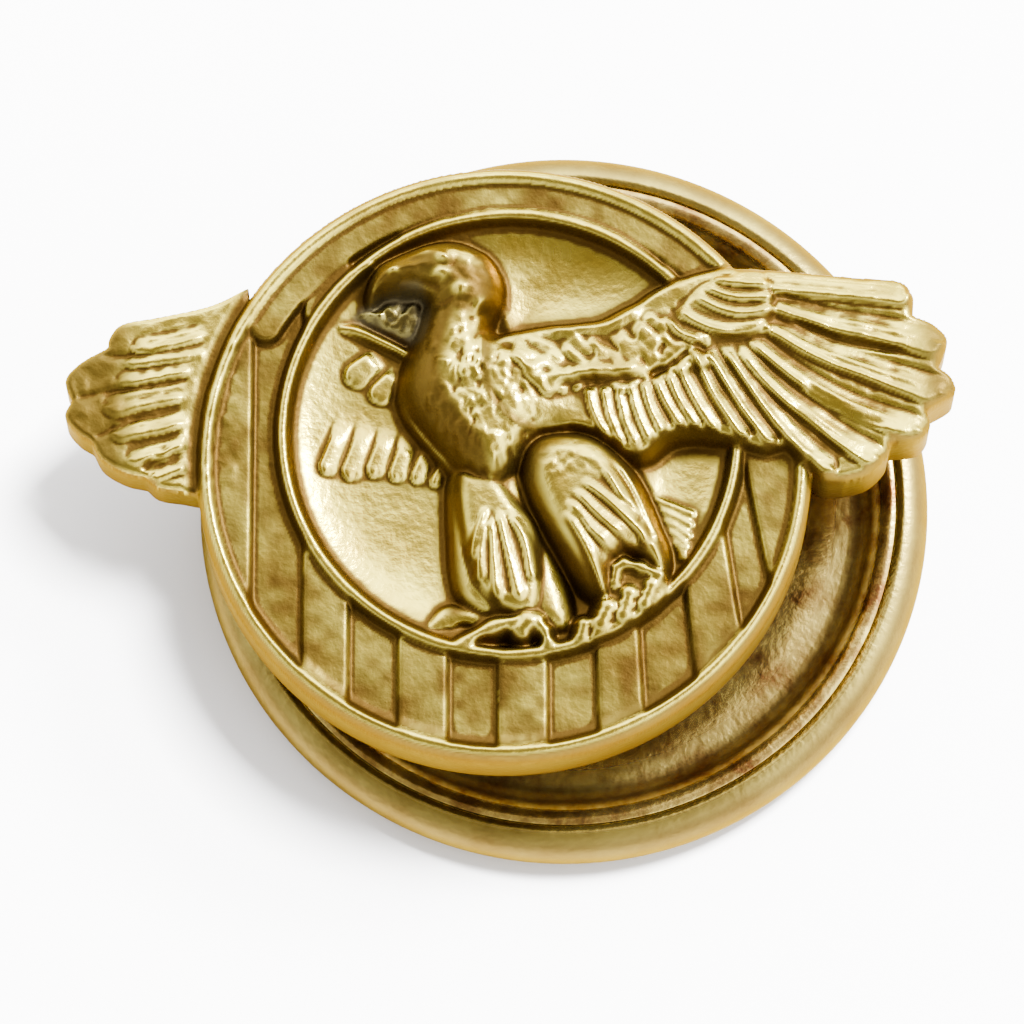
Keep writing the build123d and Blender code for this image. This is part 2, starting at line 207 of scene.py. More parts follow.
class Relief:
    """The struck face: heights over the emblem's back at each point of a grid."""

    def __init__(self, x, y):
        self.x, self.y = x, y
        self.h = np.full(x.shape, SUNK)
        self.tarnish_shade = np.zeros(x.shape)  # brown tarnish and painted shade, cleared where highlights are painted
        self.grime = np.zeros(x.shape)  # dark grey dirt

    def window(self, line, margin):
        """The part of the grid round a line, as a pair of slices."""
        line = np.asarray(line, float)
        low, high = line.min(0) - margin, line.max(0) + margin
        columns = np.flatnonzero((self.x.max(1) >= low[0]) & (self.x.min(1) <= high[0]))
        rows = np.flatnonzero((self.y.max(0) >= low[1]) & (self.y.min(0) <= high[1]))
        return slice(columns[0], columns[-1] + 1), slice(rows[0], rows[-1] + 1)

    def lay(self, part, height, cover):
        """Puts a surface over what is there, where cover is 1."""
        self.h[part] = self.h[part] * (1 - cover) + height * cover

    def form(self, outline, base, top, roundness, power=0.65):
        """A puffed form inside a closed outline, rising from base to top over its rounded margin."""
        part = self.window(outline, 0.1)
        x, y = self.x[part], self.y[part]
        depth = depth_in(x, y, outline)
        rise = np.clip(1 - (1 - np.clip(depth / roundness, 0, 1)) ** 2, 0, 1) ** power
        height = base + (top - base) * rise
        self.h[part] = np.where(depth > 0, np.maximum(self.h[part], height), self.h[part])

    def feather(self, spine, root, tip, rise, base, crown=0.06, lean=0.0, ribs=1, rib=0.03, start=0.2):
        """A blade with a round tip along a spine, with half-widths at root and tip, laid over base."""
        line = curve(spine)
        part = self.window(line, max(root, tip) + 0.05)
        x, y = self.x[part], self.y[part]
        share, distance, side = follow(x, y, line)
        across = distance / (root + (tip - root) * share)
        signed = side * np.minimum(across, 1)
        height = base[part] + rise + crown * np.sqrt(1 - signed**2) + lean * signed
        if ribs > 1:
            wander = 0.12 * noise(x, y, 0.6, ribs)
            place = np.mod(ribs * (signed + 1) / 2 + wander, 1)
            strength = (1 + 0.4 * noise(x, y, 0.5, ribs + 9)) * smooth(1.0, 0.75, share)
            height += rib * strength * (0.45 - (2 * place - 1) ** 2)
        cover = smooth(1.0, 0.86, across) * smooth(0.0, start, share)
        self.lay(part, height, cover)

    def plumage(self, outline, pitch, turn, seed, crown=0.05, lift=0.05, long=1.2, fan=0.0):
        """Small uneven overlapping feathers inside a closed outline, turned in degrees from +X."""
        rng = np.random.default_rng(seed)
        base = self.h.copy()
        middle = outline.mean(0)
        angle = math.radians(turn)
        way = np.array([math.cos(angle), math.sin(angle)])
        across = np.array([-way[1], way[0]])
        reach = int(np.abs(outline - middle).max() * 1.5 / pitch) + 1
        for i in range(reach, -reach - 1, -1):
            for k in range(-reach, reach + 1):
                start = middle + way * 0.75 * pitch * i + across * 0.75 * pitch * (k + 0.5 * (i % 2))
                start = start + rng.normal(0, 0.12 * pitch, 2)
                bend = math.radians(rng.normal(0, 9) + fan * (start - middle) @ across)
                size = pitch * rng.uniform(0.8, 1.15)
                if depth_in(start[:1], start[1:], outline)[0] < 0:
                    continue
                run = way * math.cos(bend) + across * math.sin(bend)
                end = start + run * size * long
                rise = lift * rng.uniform(0.3, 1)
                self.feather([start, end], 0.36 * size, 0.42 * size, rise, base, crown, start=0.5)

    def stipple(self, outline, size, amount, seed, fade=0.2):
        """Fine random roughness inside a closed line."""
        part = self.window(outline, 0.05)
        x, y = self.x[part], self.y[part]
        inside = smooth(0, fade, depth_in(x, y, outline))
        rough = noise(x, y, size, seed) + 0.6 * noise(x, y, size * 0.5, seed + 1)
        self.h[part] += inside * amount * rough

    def stain(self, outline, amount, margin=0.3):
        """Brown tarnish inside a closed line, fading in from its edge."""
        part = self.window(outline, 0.05)
        cover = amount * smooth(0, margin, depth_in(self.x[part], self.y[part], outline))
        self.tarnish_shade[part] = np.maximum(self.tarnish_shade[part], cover)

    def groove(self, points, depth, width):
        """A cut along a line, tapering to nothing at both ends."""
        line = curve(points)
        part = self.window(line, width * 3)
        share, distance, _ = follow(self.x[part], self.y[part], line)
        ends = smooth(0, 0.15, share) * smooth(1, 0.85, share)
        self.h[part] -= depth * ends * np.exp(-((distance / width) ** 2))

    def ridge(self, points, height, width):
        """A raised line, the opposite of a groove."""
        self.groove(points, -height, width)


def ring_and_field(r):
    """The flat striped field, the band over it and the outer lip."""
    x, y = r.x, r.y
    radius = np.hypot(x, y)
    fan = 1 + STRIPE_FAN * np.clip(x, 0, None) * np.clip(-(y + 1.5), -3, 4) / 3
    across = x / fan
    level = np.full(x.shape, RAISED)
    for i, edge in enumerate(STRIPE_EDGES):
        swing = (RAISED - SUNK) * (1 if i % 2 else -1)
        level += swing * smooth(-0.03, 0.03, across - edge)
    r.h = level
    for edge in STRIPE_EDGES:
        r.h -= 0.03 * np.exp(-(((across - edge) / 0.035) ** 2))
    # the field turns up a little where it meets the outer lip, most at the bottom
    r.h += 0.05 * smooth(5.0, LIP_FOOT_RADIUS, radius) * smooth(-2, -4, y)

    tip_way = np.array(BAND_TIP) / math.hypot(*BAND_TIP)
    past = (x * tip_way[1] - y * tip_way[0] > 0) & (y > 1.5)
    along = np.where(past, radius - BAND_FOOT, -9)
    round_end = BAND_TIP_RADIUS - np.hypot(x - BAND_TIP[0], y - BAND_TIP[1])
    inside = np.maximum(along, round_end)
    band = smooth(-0.03, 0.03, inside)
    r.h = r.h * (1 - band) + BAND * band
    r.h -= 0.035 * np.exp(-(((inside + 0.02) / 0.035) ** 2))

    # outer lip: a rounded bead, falling to the trimmed edge
    outer = np.clip((RING_RADIUS - radius) / (RING_RADIUS - LIP_CREST_RADIUS), 0, 1)
    shoulder = EDGE + (LIP_CREST - EDGE) * np.sqrt(1 - (1 - outer) ** 2)
    inner = smooth(LIP_FOOT_RADIUS - 0.03, LIP_CREST_RADIUS, radius)
    lip = np.where(radius > LIP_CREST_RADIUS, shoulder, r.h * (1 - inner) + LIP_CREST * inner)
    r.h = np.where(radius > LIP_FOOT_RADIUS - 0.03, lip, r.h)


def bowl(r):
    """The inner lip and the dished field behind the eagle."""
    reach = np.hypot(r.x - BOWL_X, r.y - BOWL_Y)
    inner = BOWL_RADIUS - BOWL_LIP_WIDTH
    share = np.clip(reach / inner, 0, 1)
    dish = BOWL_FLOOR + (BOWL_EDGE - BOWL_FLOOR) * (0.15 * share**2 + 0.85 * share**7)
    # the field rises a little behind the near wing and the thigh
    for line in (
        [(-0.1, 3.2), (0.2, 2.4), (1.2, 2.5), (2.1, 2.75), (2.9, 3.3)],
        [(2.3, 0.2), (2.7, -0.6), (3.0, -1.6)],
    ):
        behind = follow(r.x, r.y, curve(line, 4))[1]
        dish += 0.24 * np.exp(-behind / 0.7) * (1 - share**6)
    r.h = np.where(reach < BOWL_RADIUS, dish, r.h)
    bead = np.clip(np.abs(reach - BOWL_RADIUS + 0.02) / BOWL_LIP_WIDTH, 0, 1)
    lip = r.h + (BOWL_LIP_TOP - r.h) * np.sqrt(1 - bead**2) ** 0.8
    r.h = np.where(bead < 1, np.maximum(r.h, lip), r.h)


def far_wing_outside(r):
    """The far wing where it stands out left of the ring, lower than the ring's lip."""
    outline = outline_of(LEFT_WING)
    radius = np.hypot(r.x, r.y)
    outside = (radius > RING_RADIUS - 0.02) & (r.x < 0)
    depth = depth_in(r.x, r.y, outline)
    depth = np.where(outside & (depth < 0), 0, depth)
    edge = np.sqrt(np.clip(1 - (1 - np.clip(depth / 0.07, 0, 1)) ** 2, 0, 1))
    level = 0.94 + 0.1 * edge + 0.012 * noise(r.x, r.y, 0.8, 21)
    r.h = np.where(outside, level, r.h)
    base = r.h.copy()
    blades = (
        ([(-5.55, 0.02), (-5.9, -0.1), (-6.2, -0.2)], 0.12, 0.14, 1),
        ([(-5.55, 0.45), (-6.1, 0.27), (-6.6, 0.12)], 0.14, 0.18, 2),
        ([(-5.6, 0.9), (-6.2, 0.7), (-6.85, 0.6)], 0.17, 0.22, 2),
        ([(-5.6, 1.38), (-6.2, 1.25), (-6.95, 1.1)], 0.2, 0.26, 2),
        ([(-5.5, 1.8), (-6.1, 1.68), (-6.8, 1.55)], 0.15, 0.17, 2),
        ([(-5.4, 2.12), (-6.0, 1.98), (-6.65, 1.9)], 0.14, 0.16, 1),
        ([(-5.3, 2.5), (-5.8, 2.32), (-6.5, 2.18)], 0.17, 0.2, 2),
    )
    for spine, root, tip, ribs in blades:
        r.feather(spine, root, tip, 0.0, base, crown=0.06, lean=0.06, ribs=ribs, rib=0.05, start=0.3)
    r.stipple(outline, 0.3, 0.022, 22)
    # the long feathers part at the wing's tip
    for line in (
        [(-6.3, 2.02), (-6.9, 1.98), (-7.3, 2.0)],
        [(-6.6, 1.42), (-7.2, 1.3), (-7.75, 1.2)],
        [(-6.5, 0.82), (-7.0, 0.62), (-7.4, 0.45)],
        [(-6.0, 0.3), (-6.3, 0.05), (-6.45, -0.2)],
    ):
        r.groove(line, 0.05, 0.05)
    # painted shade: a low strip beside the ring, darkened brown where the ring's edge shades the far
    # wing
    near = smooth(RING_RADIUS + 0.3, RING_RADIUS + 0.1, radius)
    r.h = np.where(outside, r.h * (1 - near) + 1.0 * near, r.h)
    r.tarnish_shade = np.where(outside, 0.9 * near, r.tarnish_shade)
    r.h = np.where(outside & (depth < 0.02), np.minimum(r.h, 0.96), r.h)


def far_wing_inside(r):
    """The far wing in low relief on the dished field: its arm, round coverts and long feathers."""
    floor = r.h.copy()
    for root_x, root_y, tip_x, tip_y, half in (
        (-1.05, 0.25, -1.2, -0.25, 0.13),
        (-1.35, 0.5, -1.52, -0.16, 0.16),
        (-1.7, 0.7, -1.88, -0.1, 0.19),
        (-2.05, 0.85, -2.28, -0.02, 0.2),
        (-2.42, 0.95, -2.7, -0.06, 0.22),
        (-2.8, 1.05, -3.12, 0.0, 0.2),
    ):
        spine = [(root_x, root_y), ((root_x + tip_x) / 2 + 0.03, (root_y + tip_y) / 2), (tip_x, tip_y)]
        r.feather(spine, half * 0.9, half, 0.02, floor, crown=0.07, lean=-0.04, start=0.7)
    for spine, half in (
        ([(-1.6, 1.6), (-1.7, 1.4), (-1.78, 1.2)], 0.2),
        ([(-1.85, 1.8), (-2.05, 1.55), (-2.2, 1.38)], 0.24),
        ([(-2.2, 2.05), (-2.45, 1.85), (-2.62, 1.7)], 0.27),
    ):
        r.feather(spine, half * 0.8, half, 0.02, floor, crown=0.09, lean=-0.03, start=0.5)
    arm = closed([
        (-3.05, 2.64), (-2.7, 2.66), (-2.3, 2.5), (-1.7, 2.15), (-1.68, 1.92), (-2.05, 2.08),
        (-2.6, 2.32), (-3.0, 2.46),
    ])
    r.form(arm, BOWL_FLOOR, 0.95, 0.14)
    clot = closed([
        (-2.75, 2.7), (-2.6, 2.95), (-2.35, 3.05), (-2.0, 3.2), (-1.5, 3.25), (-1.3, 2.7),
        (-1.5, 2.15), (-2.0, 2.35),
    ])
    r.form(clot, BOWL_FLOOR, 1.0, 0.4)
    r.stipple(clot, 0.22, 0.07, 31, 0.2)
    part = r.window(clot, 0.1)
    r.grime[part] = 0.75 * smooth(-0.05, 0.15, depth_in(r.x[part], r.y[part], clot))


def far_leg_and_tail(r):
    """The far leg, with a feathered lobe in front of its smooth side, and the short tail feathers."""
    leg = closed([
        (-0.95, -0.1), (-0.4, 0.1), (0.3, 0.0), (0.6, -0.9), (1.0, -1.8), (1.22, -2.5),
        (1.22, -3.05), (0.8, -3.15), (0.1, -3.0), (-0.5, -2.8), (-0.9, -2.35), (-1.0, -1.3),
    ])
    r.form(leg, 0.85, 1.22, 0.5)
    lobe = closed([
        (-0.85, -0.3), (-0.5, -0.2), (-0.1, -0.3), (0.25, -0.75), (0.55, -1.15), (0.68, -1.7),
        (0.72, -2.3), (0.6, -2.75), (0.2, -2.85), (-0.3, -2.6), (-0.62, -2.1), (-0.8, -1.2),
    ])
    r.form(lobe, 1.1, 1.38, 0.3)
    base = r.h.copy()
    for spine, half in (
        ([(0.1, -1.0), (0.4, -1.5), (0.55, -2.1)], 0.15),
        ([(-0.3, -0.9), (-0.42, -1.3), (-0.52, -1.75)], 0.13),
        ([(-0.3, -1.1), (-0.38, -1.7), (-0.42, -2.2)], 0.12),
        ([(-0.1, -0.9), (0.1, -1.7), (0.3, -2.45)], 0.14),
        ([(-0.22, -1.0), (-0.15, -1.8), (-0.08, -2.5)], 0.13),
    ):
        r.feather(spine, half * 0.5, half, 0.0, base, crown=0.06, lean=-0.05, ribs=2, rib=0.03)
    shin = closed([
        (-1.15, -0.1), (-0.55, -0.1), (-0.7, -1.2), (-0.6, -2.2), (-0.5, -2.8), (-1.1, -2.9),
        (-1.3, -1.5),
    ])
    r.stain(shin, 0.8)
    floor = r.h.copy()
    for k in range(5):
        y = -0.72 - 0.2 * k
        spine = [(2.45 + 0.06 * k, y + 0.15), (2.85 + 0.06 * k, y - 0.02), (3.3 - 0.03 * k, y - 0.22)]
        r.feather(spine, 0.08, 0.12, 0.0, floor, crown=0.07, lean=0.03, start=0.6)


def near_thigh(r):
    """The near thigh: a smooth stippled top, and a skirt of feathers down to the shank."""
    thigh = closed([
        (1.0, 0.52), (0.62, 0.44), (0.36, 0.2), (0.3, -0.15), (0.36, -0.5), (0.56, -0.97),
        (0.85, -1.5), (1.1, -1.9), (1.4, -2.3), (1.65, -2.55), (1.84, -2.66), (1.93, -2.35),
        (2.0, -2.0), (2.2, -1.8), (2.45, -1.92), (2.7, -2.12), (2.93, -2.05), (2.92, -1.6),
        (2.75, -1.2), (2.61, -0.85), (2.39, -0.4), (2.07, 0.08), (1.71, 0.38), (1.36, 0.5),
    ])
    r.form(thigh, 1.12, 1.7, 0.55)
    base = r.h.copy()
    for spine, root, tip, ribs in (
        ([(2.0, 0.0), (2.4, -0.6), (2.72, -1.4)], 0.1, 0.15, 2),
        ([(1.75, -0.1), (2.15, -0.75), (2.5, -1.5)], 0.12, 0.18, 2),
        ([(1.35, -0.45), (1.8, -0.75), (2.3, -1.2)], 0.1, 0.15, 2),
        ([(1.25, -0.6), (1.7, -1.05), (2.25, -1.55)], 0.12, 0.17, 2),
        ([(1.15, -0.8), (1.55, -1.3), (1.95, -1.65)], 0.12, 0.17, 2),
        ([(1.1, -1.0), (1.45, -1.6), (1.8, -2.4)], 0.12, 0.14, 2),
    ):
        r.feather(spine, root, tip, 0.0, base, crown=0.06, lean=-0.06, ribs=ribs, rib=0.04)
    top = closed([
        (0.5, 0.1), (0.9, 0.4), (1.4, 0.35), (1.8, 0.0), (1.9, -0.35), (1.3, -0.5), (0.8, -0.6),
        (0.5, -0.3),
    ])
    r.stipple(top, 0.1, 0.02, 41)
    front = closed([
        (0.25, 0.5), (0.95, 0.6), (1.6, 0.5), (1.7, 0.25), (1.1, 0.1), (0.8, -0.3), (1.0, -1.0),
        (1.35, -1.9), (1.1, -2.1), (0.4, -1.0), (0.2, -0.2),
    ])
    r.stain(front, 0.7)


def feet(r):
    """Knobbed toes that grip the inner lip."""
    pad = closed([
        (1.8, -2.0), (2.15, -1.7), (2.7, -1.95), (3.0, -2.1), (2.95, -2.6), (2.5, -3.0),
        (1.9, -3.35), (1.45, -3.4), (1.5, -2.8),
    ])
    r.form(pad, BOWL_FLOOR, 1.34, 0.2)
    toes = (
        ([(2.0, -2.05), (1.95, -2.3)], 0.15, 1.5),
        ([(2.12, -1.96), (2.4, -2.02), (2.75, -2.16)], 0.14, 1.52),
        ([(1.84, -2.75), (1.72, -3.0)], 0.2, 1.47),
        ([(2.22, -2.5), (2.12, -2.85)], 0.19, 1.48),
        ([(2.62, -2.35), (2.5, -2.65)], 0.18, 1.48),
        ([(1.42, -3.05), (1.37, -3.25)], 0.17, 1.36),
        ([(0.5, -2.9), (0.05, -3.0), (-0.45, -3.18), (-0.75, -3.4)], 0.18, 1.32),
        ([(0.6, -2.95), (0.72, -3.15), (0.78, -3.35)], 0.15, 1.34),
        ([(0.42, -2.98), (0.3, -3.12)], 0.22, 1.38),
        ([(-0.3, -2.9), (-0.85, -2.8), (-1.25, -3.0), (-1.5, -3.3)], 0.24, 1.02),
    )
    for spine, half, top in toes:
        line = curve(spine)
        part = r.window(line, half)
        share, distance, _ = follow(r.x[part], r.y[part], line)
        knobs = 0.82 + 0.18 * np.cos(share * 4 * math.pi)
        across = np.clip(distance / (half * knobs), 0, 1)
        height = top - 0.16 + 0.16 * np.sqrt(1 - across**2) - 0.04 * share
        r.h[part] = np.where(across < 1, np.maximum(r.h[part], height), r.h[part])
    hole = np.exp(-(((r.x - 0.05) / 0.25) ** 2 + ((r.y + 3.3) / 0.15) ** 2))
    r.h -= 0.12 * hole
    r.tarnish_shade = np.maximum(r.tarnish_shade, 0.8 * hole)


def body(r):
    """Breast, neck and head, with the beak to the left."""
    front = closed([
        (-1.45, 3.0), (-1.55, 2.84), (-1.72, 2.28), (-1.9, 1.63), (-1.93, 1.26), (-1.8, 0.83),
        (-1.45, 0.33), (-0.88, -0.28), (-0.2, -0.62), (0.2, -0.4), (0.6, 0.3), (0.0, 2.0),
        (-0.6, 2.8),
    ])
    r.form(front, BOWL_FLOOR, 0.98, 0.1)
    trunk = closed([
        (-1.3, 3.2), (-1.43, 2.84), (-1.59, 2.28), (-1.79, 1.63), (-1.81, 1.26), (-1.68, 0.89),
        (-1.33, 0.43), (-0.79, -0.16), (-0.16, -0.5), (0.2, -0.25), (0.6, 0.3), (1.2, 0.6),
        (1.9, 0.9), (1.9, 1.7), (1.0, 2.2), (0.28, 2.3), (-0.2, 2.42), (-0.1, 2.84), (-0.1, 3.3),
        (-0.3, 3.6), (-0.8, 3.7),
    ])
    r.form(trunk, 1.0, 1.72, 0.75)
    head = closed([
        (-2.15, 3.08), (-2.3, 3.0), (-2.42, 2.94), (-2.46, 3.1), (-2.4, 3.37), (-2.25, 3.62),
        (-1.95, 3.8), (-1.55, 3.96), (-1.15, 4.07), (-0.75, 4.04), (-0.4, 3.86), (-0.16, 3.56),
        (-0.06, 3.25), (-0.1, 2.85), (-0.3, 2.6), (-0.8, 2.5), (-1.3, 2.75), (-1.45, 3.0),
        (-1.8, 3.1),
    ])
    r.form(head, 1.0, 1.8, 0.6, power=0.55)
    r.groove([(-1.95, 3.28), (-1.6, 3.25), (-1.3, 3.15), (-1.1, 3.0)], 0.07, 0.045)
    r.groove([(-2.0, 3.5), (-1.7, 3.55), (-1.45, 3.62)], 0.04, 0.035)
    r.ridge([(-1.75, 3.62), (-1.45, 3.72), (-1.15, 3.68), (-0.9, 3.5)], 0.06, 0.06)
    nape = closed([
        (-1.1, 2.9), (-0.7, 3.1), (-0.35, 2.9), (-0.3, 2.4), (0.1, 2.1), (-0.2, 1.7), (-0.8, 1.7),
        (-1.2, 2.2),
    ])
    r.plumage(nape, 0.24, -115, 52, crown=0.03, lift=0.045)
    breast = closed([
        (-1.2, 1.9), (-0.6, 2.0), (0.4, 2.1), (1.3, 1.9), (1.4, 1.2), (0.9, 0.75), (0.2, 0.2),
        (-0.3, -0.1), (-0.9, 0.4), (-1.3, 1.1),
    ])
    r.plumage(breast, 0.22, -82, 53, crown=0.03, lift=0.05, fan=6)
    r.stipple(breast, 0.09, 0.008, 51, 0.4)
    crest = closed([
        (-1.9, 3.5), (-1.5, 3.9), (-0.9, 3.95), (-0.4, 3.7), (-0.2, 3.2), (-0.6, 2.9), (-1.1, 3.2),
    ])
    r.plumage(crest, 0.24, -20, 54, crown=0.015, lift=0.03)
    r.stain(head, 0.8, 0.2)
    # painted highlights: small raised bumps at the crown, eye, beak and nape, cleared of the head's
    # brown
    for x, y, size in (
        (-1.44, 3.84, 0.13),
        (-1.12, 3.62, 0.1),
        (-0.92, 3.74, 0.12),
        (-0.6, 3.66, 0.17),
        (-1.13, 3.33, 0.12),
        (-2.0, 3.42, 0.08),
        (-2.38, 3.58, 0.09),
        (-0.4, 2.73, 0.14),
        (-0.8, 3.05, 0.12),
    ):
        spot = np.exp(-(((r.x - x) / size) ** 2 + ((r.y - y) / size * 1.3) ** 2))
        r.h += 0.08 * spot
        r.tarnish_shade *= 1 - np.minimum(1, 1.8 * spot)
    throat = closed([
        (-2.0, 1.3), (-1.85, 2.2), (-1.6, 2.9), (-1.2, 3.2), (-0.65, 2.8), (-0.8, 2.2),
        (-0.9, 1.5), (-0.6, 0.9), (-0.15, 0.3), (-0.1, -0.6), (-0.9, -0.4), (-1.7, 0.6),
    ])
    r.stain(throat, 0.8, 0.35)
    r.ridge([(-1.86, 1.5), (-1.8, 0.95), (-1.45, 0.45), (-0.9, -0.15)], 0.05, 0.05)


def near_wing(r):
    """The near wing, laid over the ring: long feathers that fan from the round group at its wrist."""
    outline = outline_of(RIGHT_WING)
    part = r.window(outline, 0.1)
    x, y = r.x[part], r.y[part]
    depth = depth_in(x, y, outline)
    top = 1.5 - 0.035 * np.clip(x - 2.5, 0, None) + 0.02 * np.clip(y - 1, -2, 2)
    edge = np.sqrt(np.clip(1 - (1 - np.clip(depth / 0.16, 0, 1)) ** 2, 0, 1))
    low = np.where(np.hypot(x, y) > RING_RADIUS - 0.1, 1.0, r.h[part])
    height = low + (top - low) * (0.25 + 0.75 * edge)
    inner = smooth(-0.1, 1.3, x)
    height = height * inner + np.maximum(height, r.h[part]) * (1 - inner)
    r.h[part] = np.where(depth > 0, np.maximum(height, r.h[part] * (1 - inner)), r.h[part])
    r.tarnish_shade[part] = np.maximum(r.tarnish_shade[part], 0.7 * (depth > -0.1) * smooth(0.16, 0.03, depth))
    base = r.h.copy()

    # short secondaries near the body, then the primaries, each tucked under the one above it
    short = dict(base=base, crown=0.06, lean=-0.06, start=0.15, ribs=2, rib=0.03)
    for root_x, root_y, tip_x, tip_y, half in (
        (1.55, 1.3, 1.82, 0.5, 0.15), (1.82, 1.32, 2.1, 0.38, 0.15), (2.07, 1.34, 2.36, 0.32, 0.15),
        (2.3, 1.36, 2.6, 0.42, 0.15), (2.52, 1.42, 2.82, 0.55, 0.14), (2.74, 1.5, 3.15, 0.68, 0.14),
        (2.95, 1.6, 3.42, 0.68, 0.14), (3.15, 1.75, 3.75, 0.62, 0.15),
    ):
        bend = ((root_x + tip_x) / 2 - 0.04, (root_y + tip_y) / 2)
        r.feather([(root_x, root_y), bend, (tip_x, tip_y)], half * 0.8, half, 0.01, **short)
    long = dict(base=base, crown=0.05, lean=-0.1, rib=0.045, start=0.12)
    for spine, root, tip, ribs in (
        ([(3.4, 2.0), (3.9, 1.05), (4.28, 0.52)], 0.12, 0.18, 2),
        ([(3.65, 2.05), (4.3, 1.0), (4.75, 0.42)], 0.12, 0.19, 2),
        ([(3.95, 2.1), (4.75, 0.95), (5.3, 0.3), (5.75, -0.1)], 0.13, 0.24, 2),
        ([(4.2, 2.1), (4.9, 1.3), (5.9, 0.5), (6.55, 0.1)], 0.14, 0.28, 3),
        ([(4.35, 2.3), (5.2, 1.6), (6.2, 1.0), (7.3, 0.6)], 0.15, 0.3, 3),
        ([(4.6, 2.55), (5.6, 2.0), (6.6, 1.65), (7.72, 1.28)], 0.16, 0.34, 3),
        ([(4.7, 2.9), (5.9, 2.55), (6.8, 2.38), (7.6, 2.2)], 0.18, 0.34, 3),
        ([(4.6, 3.25), (5.9, 3.15), (7.1, 3.05)], 0.22, 0.24, 2),
    ):
        r.feather(spine, root, tip, 0.0, ribs=ribs, **long)
    for groove in (
        [(5.0, 2.62), (5.9, 2.2), (6.6, 2.05), (7.3, 1.98)],
        [(5.3, 1.35), (6.1, 0.85), (6.9, 0.55)],
        [(5.0, 0.95), (5.6, 0.45), (6.1, 0.0)],
    ):
        r.groove(groove, 0.09, 0.05)

    r.stipple(outline, 0.38, 0.02, 64)
    coverts_and_wrist(r)


def coverts_and_wrist(r):
    """The rows of small feathers over the arm, and the round group at the wrist."""
    arm = closed([
        (0.2, 1.45), (1.0, 1.6), (2.0, 1.66), (2.7, 1.9), (3.2, 2.2), (2.9, 2.75), (2.4, 2.7),
        (1.7, 2.4), (0.7, 2.3), (0.0, 2.15),
    ])
    r.plumage(arm, 0.36, -38, 62, crown=0.05, lift=0.07, long=1.5)
    r.ridge([(0.75, 1.4), (1.1, 1.48), (1.6, 1.55), (2.1, 1.57), (2.55, 1.6)], 0.12, 0.12)
    r.groove([(0.9, 1.25), (1.5, 1.38), (2.1, 1.4), (2.6, 1.45)], 0.06, 0.05)
    r.ridge([(0.7, 2.28), (1.3, 2.36), (1.9, 2.42), (2.5, 2.78)], 0.08, 0.12)
    r.groove([(3.35, 1.98), (2.95, 1.68), (2.5, 1.45)], 0.1, 0.05)
    lobe = closed([
        (3.0, 2.5), (3.2, 2.2), (3.55, 2.08), (4.1, 2.2), (4.55, 2.3), (4.82, 2.6), (4.84, 3.1),
        (4.6, 3.45), (4.0, 3.4), (3.5, 3.2), (3.2, 2.9),
    ])
    r.form(lobe, 1.44, 1.6, 0.2)
    base = r.h.copy()
    wrist = dict(base=base, crown=0.05, lean=-0.07, start=0.15)
    for spine, half in (
        ([(2.95, 2.55), (3.2, 2.28), (3.62, 2.15)], 0.12),
        ([(3.05, 2.8), (3.5, 2.5), (4.05, 2.34), (4.62, 2.42)], 0.17),
        ([(3.4, 3.0), (3.9, 2.75), (4.3, 2.68), (4.72, 2.75)], 0.14),
        ([(3.6, 3.15), (4.1, 2.98), (4.7, 2.98)], 0.13),
        ([(3.7, 3.32), (4.1, 3.25), (4.65, 3.22)], 0.13),
    ):
        r.feather(spine, half * 0.7, half, 0.0, ribs=2, rib=0.04, **wrist)
    rough = closed([
        (2.5, 2.6), (3.0, 2.9), (3.6, 3.25), (3.4, 3.0), (3.0, 2.5), (2.6, 2.1), (2.3, 2.0),
        (2.2, 2.3),
    ])
    r.stipple(rough, 0.11, 0.025, 61, 0.1)


def blurred(values, radius, passes=2):
    """A running mean over a square of the grid."""
    for _ in range(passes):
        for axis in (0, 1):
            total = np.zeros(values.shape)
            for step in range(-radius, radius + 1):
                total += np.roll(values, step, axis)
            values = total / (2 * radius + 1)
    return values


def draft(r):
    """Limits how steep the walls stand: each point's height spreads down to its neighbours."""
    for _ in range(DRAFT_STEPS):
        for across, along in ((1, 0), (0, 1), (1, 1), (1, -1)):
            drop = DRAFT * GRID * math.hypot(across, along)
            for way in (1, -1):
                r.h = np.maximum(r.h, np.roll(r.h, (way * across, way * along), (0, 1)) - drop)


